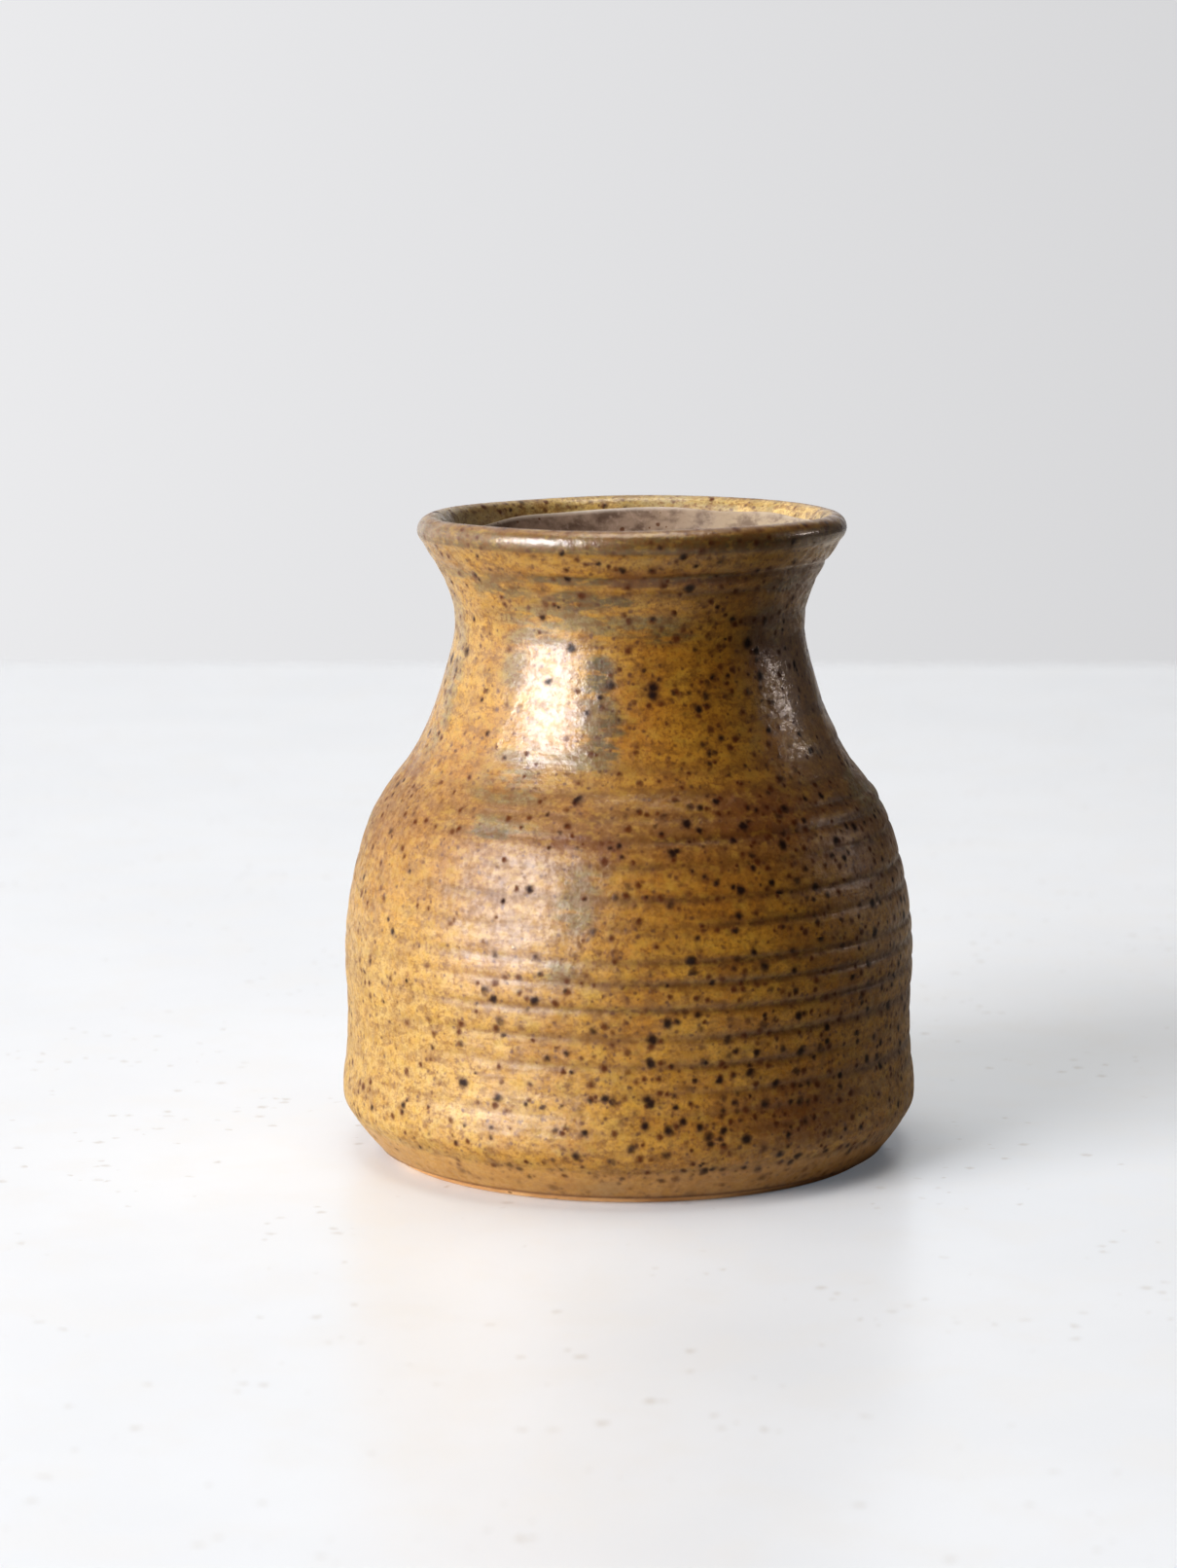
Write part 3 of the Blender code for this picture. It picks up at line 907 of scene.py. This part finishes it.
def worktop():
    """Pale and polished, with faint warm flecks and blotches. It is brighter to the camera, which
    sees it glow faintly: painted light that lifts its shadows.
    """
    s = Shader("pale_worktop")
    colour = s.mix(s.step(s.noise(60.0, 4.0), 0.35, 0.65), WORKTOP, WORKTOP_GREY)
    often = s.step(s.noise(38.0, 3.0), 0.46, 0.62, 0.03, 0.42)
    flecks = s.specks(3.2, 0.5, 1.5, often, s.shaken(1.6, 0.9), soft=0.8)
    colour = s.mix(s.times(flecks, 0.55), colour, WORKTOP_FLECK)
    blotches = s.step(s.noise(16.0, 5.0, 0.6), 0.46, 0.64, 0.0, 0.6)
    colour = s.mix(blotches, colour, WORKTOP_BLOTCH)

    # To the camera it is a little darker towards the window, as painted shade, and glows a little
    # beside the foot, as a painted light that lifts the shadow there.
    along = s.add("ShaderNodeSeparateXYZ", {0: s.mm}).outputs
    shade = s.step(along["X"], -420.0, 60.0, 0.925, 1.0)
    grey = s.add("ShaderNodeCombineColor", {0: shade, 1: shade, 2: shade}).outputs[0]
    colour = s.mix(1.0, colour, grey, "MULTIPLY")
    distance = s.add("ShaderNodeVectorMath", {0: s.mm}, operation="LENGTH").outputs["Value"]
    painted_glow_by_foot = s.step(distance, 130.0, 55.0, 0.0, 0.040)
    painted_glow_by_foot = s.times(painted_glow_by_foot, s.step(along["X"], -70.0, 10.0, 0.2, 1.0))
    seen = s.add("ShaderNodeLightPath", {}).outputs["Is Camera Ray"]

    # The vase gets light back from the window's side and from behind it, and little from elsewhere.
    lit = s.times(s.step(along["X"], 140.0, 30.0), s.step(along["Y"], -330.0, -130.0))
    lit = s.either(lit, s.step(along["Y"], 0.0, 130.0))
    bounced = s.mix(lit, BOUNCE_DIM, BOUNCE_FULL)
    return s.finish(
        Base_Color=s.mix(seen, bounced, colour), Roughness=0.30, Specular_IOR_Level=0.3,
        Emission_Color=(0.85, 1.0, 1.15), Emission_Strength=s.times(seen, s.plus(0.05, painted_glow_by_foot)),
    )


def table():
    """A worktop just under the foot. It ends a little way behind the vase."""
    near, far, side, thick, top = -1.6, TABLE_EDGE, 1.8, 0.04, -0.00003
    mesh = bpy.data.meshes.new("table")
    outline = ((-side, near), (side, near), (side, far), (-side, far))
    corners = [(x, y, z) for z in (-thick, top) for x, y in outline]
    quads = [(0, 3, 2, 1), (4, 5, 6, 7), (0, 1, 5, 4), (1, 2, 6, 5), (2, 3, 7, 6), (3, 0, 4, 7)]
    mesh.from_pydata(corners, [], quads)
    made = bpy.data.objects.new("table", mesh)
    bpy.context.scene.collection.objects.link(made)
    round_edge = made.modifiers.new("round_edge", "BEVEL")
    round_edge.width = 0.003
    round_edge.segments = 4
    mesh.materials.append(worktop())


def backdrop():
    """A pale wall that glows as if lit by the window on its left."""
    side, low, high, gap = 3.0, -0.6, 2.4, 0.012
    mesh = bpy.data.meshes.new("backdrop")
    y = TABLE_EDGE + gap
    corners = [(-side, y, low), (side, y, low), (side, y, high), (-side, y, high)]
    mesh.from_pydata(corners, [], [(0, 1, 2, 3)])
    made = bpy.data.objects.new("backdrop", mesh)
    bpy.context.scene.collection.objects.link(made)
    s = Shader("lit_wall")
    across = s.add("ShaderNodeSeparateXYZ", {0: s.mm}).outputs["X"]
    span = {"From Min": -1200.0, "From Max": 300.0, "To Min": 0.785, "To Max": 0.472}
    inputs = {"Value": across, **span}
    level = s.add("ShaderNodeMapRange", inputs, clamp=True).outputs[0]
    level = s.times(level, s.step(across, 230.0, 420.0, 1.0, 0.12))
    glow = {"Emission_Color": (1.0, 1.0, 1.015), "Emission_Strength": level}
    mesh.materials.append(s.finish(Base_Color=(0.0, 0.0, 0.0), Roughness=1.0, **glow))


def card(name, turn, distance, width, height, centre_height, watts, colour=(1.0, 1.0, 1.0)):
    """A soft light that faces the vase from turn degrees round from the front."""
    lamp = bpy.data.lights.new(name, "AREA")
    lamp.shape = "RECTANGLE"
    lamp.size, lamp.size_y = width, height
    lamp.energy = watts
    lamp.color = colour
    made = bpy.data.objects.new(name, lamp)
    angle = math.radians(turn)
    made.location = (distance * math.sin(angle), -distance * math.cos(angle), centre_height)
    facing = Vector((-made.location.x, -made.location.y, 0))
    made.rotation_euler = facing.to_track_quat("-Z", "Y").to_euler()
    bpy.context.scene.collection.objects.link(made)
    return made


def fade_edges(lamp, left, right, top, bottom):
    """Lets a card's light fade towards its edges, over shares of its width and height."""
    lamp.use_nodes = True
    tree = lamp.node_tree
    place = tree.nodes.new("ShaderNodeNewGeometry").outputs["Parametric"]
    split = tree.nodes.new("ShaderNodeSeparateXYZ")
    tree.links.new(place, split.inputs[0])
    strength = tree.nodes["Emission"].inputs["Strength"]
    sides = (("X", 0.0, left), ("X", 1.0, 1.0 - right), ("Y", 0.0, bottom), ("Y", 1.0, 1.0 - top))
    for axis, start, end in sides:
        ramp = tree.nodes.new("ShaderNodeMapRange")
        ramp.interpolation_type = "SMOOTHSTEP"
        ramp.inputs["From Min"].default_value = start
        ramp.inputs["From Max"].default_value = end
        tree.links.new(split.outputs[axis], ramp.inputs["Value"])
        product = tree.nodes.new("ShaderNodeMath")
        product.operation = "MULTIPLY"
        product.inputs[1].default_value = 1.0
        tree.links.new(ramp.outputs[0], product.inputs[0])
        tree.links.new(product.outputs[0], strength)
        strength = product.inputs[1]


def lights():
    """A window and a dim curtain on the left, two weak cards on the right, a faint ceiling."""
    window = card("window", -52.0, 2.4, 2.40, 2.40, 1.16, watts=157.0, colour=(0.99, 1.0, 1.045))
    fade_edges(window.data, left=0.34, right=0.26, top=0.22, bottom=0.10)
    card("lit_curtain", -95.0, 2.4, 1.29, 2.32, 1.16, watts=7.0)
    card("far_card", 105.0, 1.5, 0.40, 0.50, 0.62, watts=0.64, colour=(1.0, 0.88, 0.82))
    card("low_card", 105.0, 0.62, 0.14, 0.05, 0.22, watts=0.20, colour=(1.0, 0.92, 0.88))
    ceiling = card("ceiling", 0.0, 0.0, 1.0, 1.0, 1.6, watts=8.8, colour=(1.0, 0.98, 0.94))
    ceiling.rotation_euler = (0, 0, 0)


def room():
    """Almost dark, but pale grey to a camera that looks past the wall."""
    world = bpy.data.worlds.new("room")
    world.use_nodes = True
    tree = world.node_tree
    seen = tree.nodes.new("ShaderNodeLightPath").outputs["Is Camera Ray"]
    tone = tree.nodes.new("ShaderNodeMapRange")
    tone.inputs["To Min"].default_value = 0.006
    tone.inputs["To Max"].default_value = 0.45
    tree.links.new(seen, tone.inputs["Value"])
    tree.links.new(tone.outputs[0], tree.nodes["Background"].inputs["Color"])
    bpy.context.scene.world = world


def camera():
    focus = bpy.data.objects.new("focus", None)
    focus.location = (0, 0, HEIGHT / 2)
    bpy.context.scene.collection.objects.link(focus)
    lens = bpy.data.cameras.new("camera")
    lens.sensor_width = LONG_SIDE
    lens.lens = LENS
    lens.dof.use_dof = True
    lens.dof.focus_object = focus
    lens.dof.aperture_fstop = 11.0
    made = bpy.data.objects.new("camera", lens)
    made.location = (0, -EYE_DISTANCE, EYE_HEIGHT)
    made.rotation_euler = (math.pi / 2 - EYE_DOWN, 0, EYE_LEFT)
    bpy.context.scene.collection.objects.link(made)
    bpy.context.scene.camera = made


table()
backdrop()
lights()
room()
camera()
bpy.context.scene.view_settings.view_transform = "Standard"
bpy.context.scene.view_settings.look = "High Contrast"
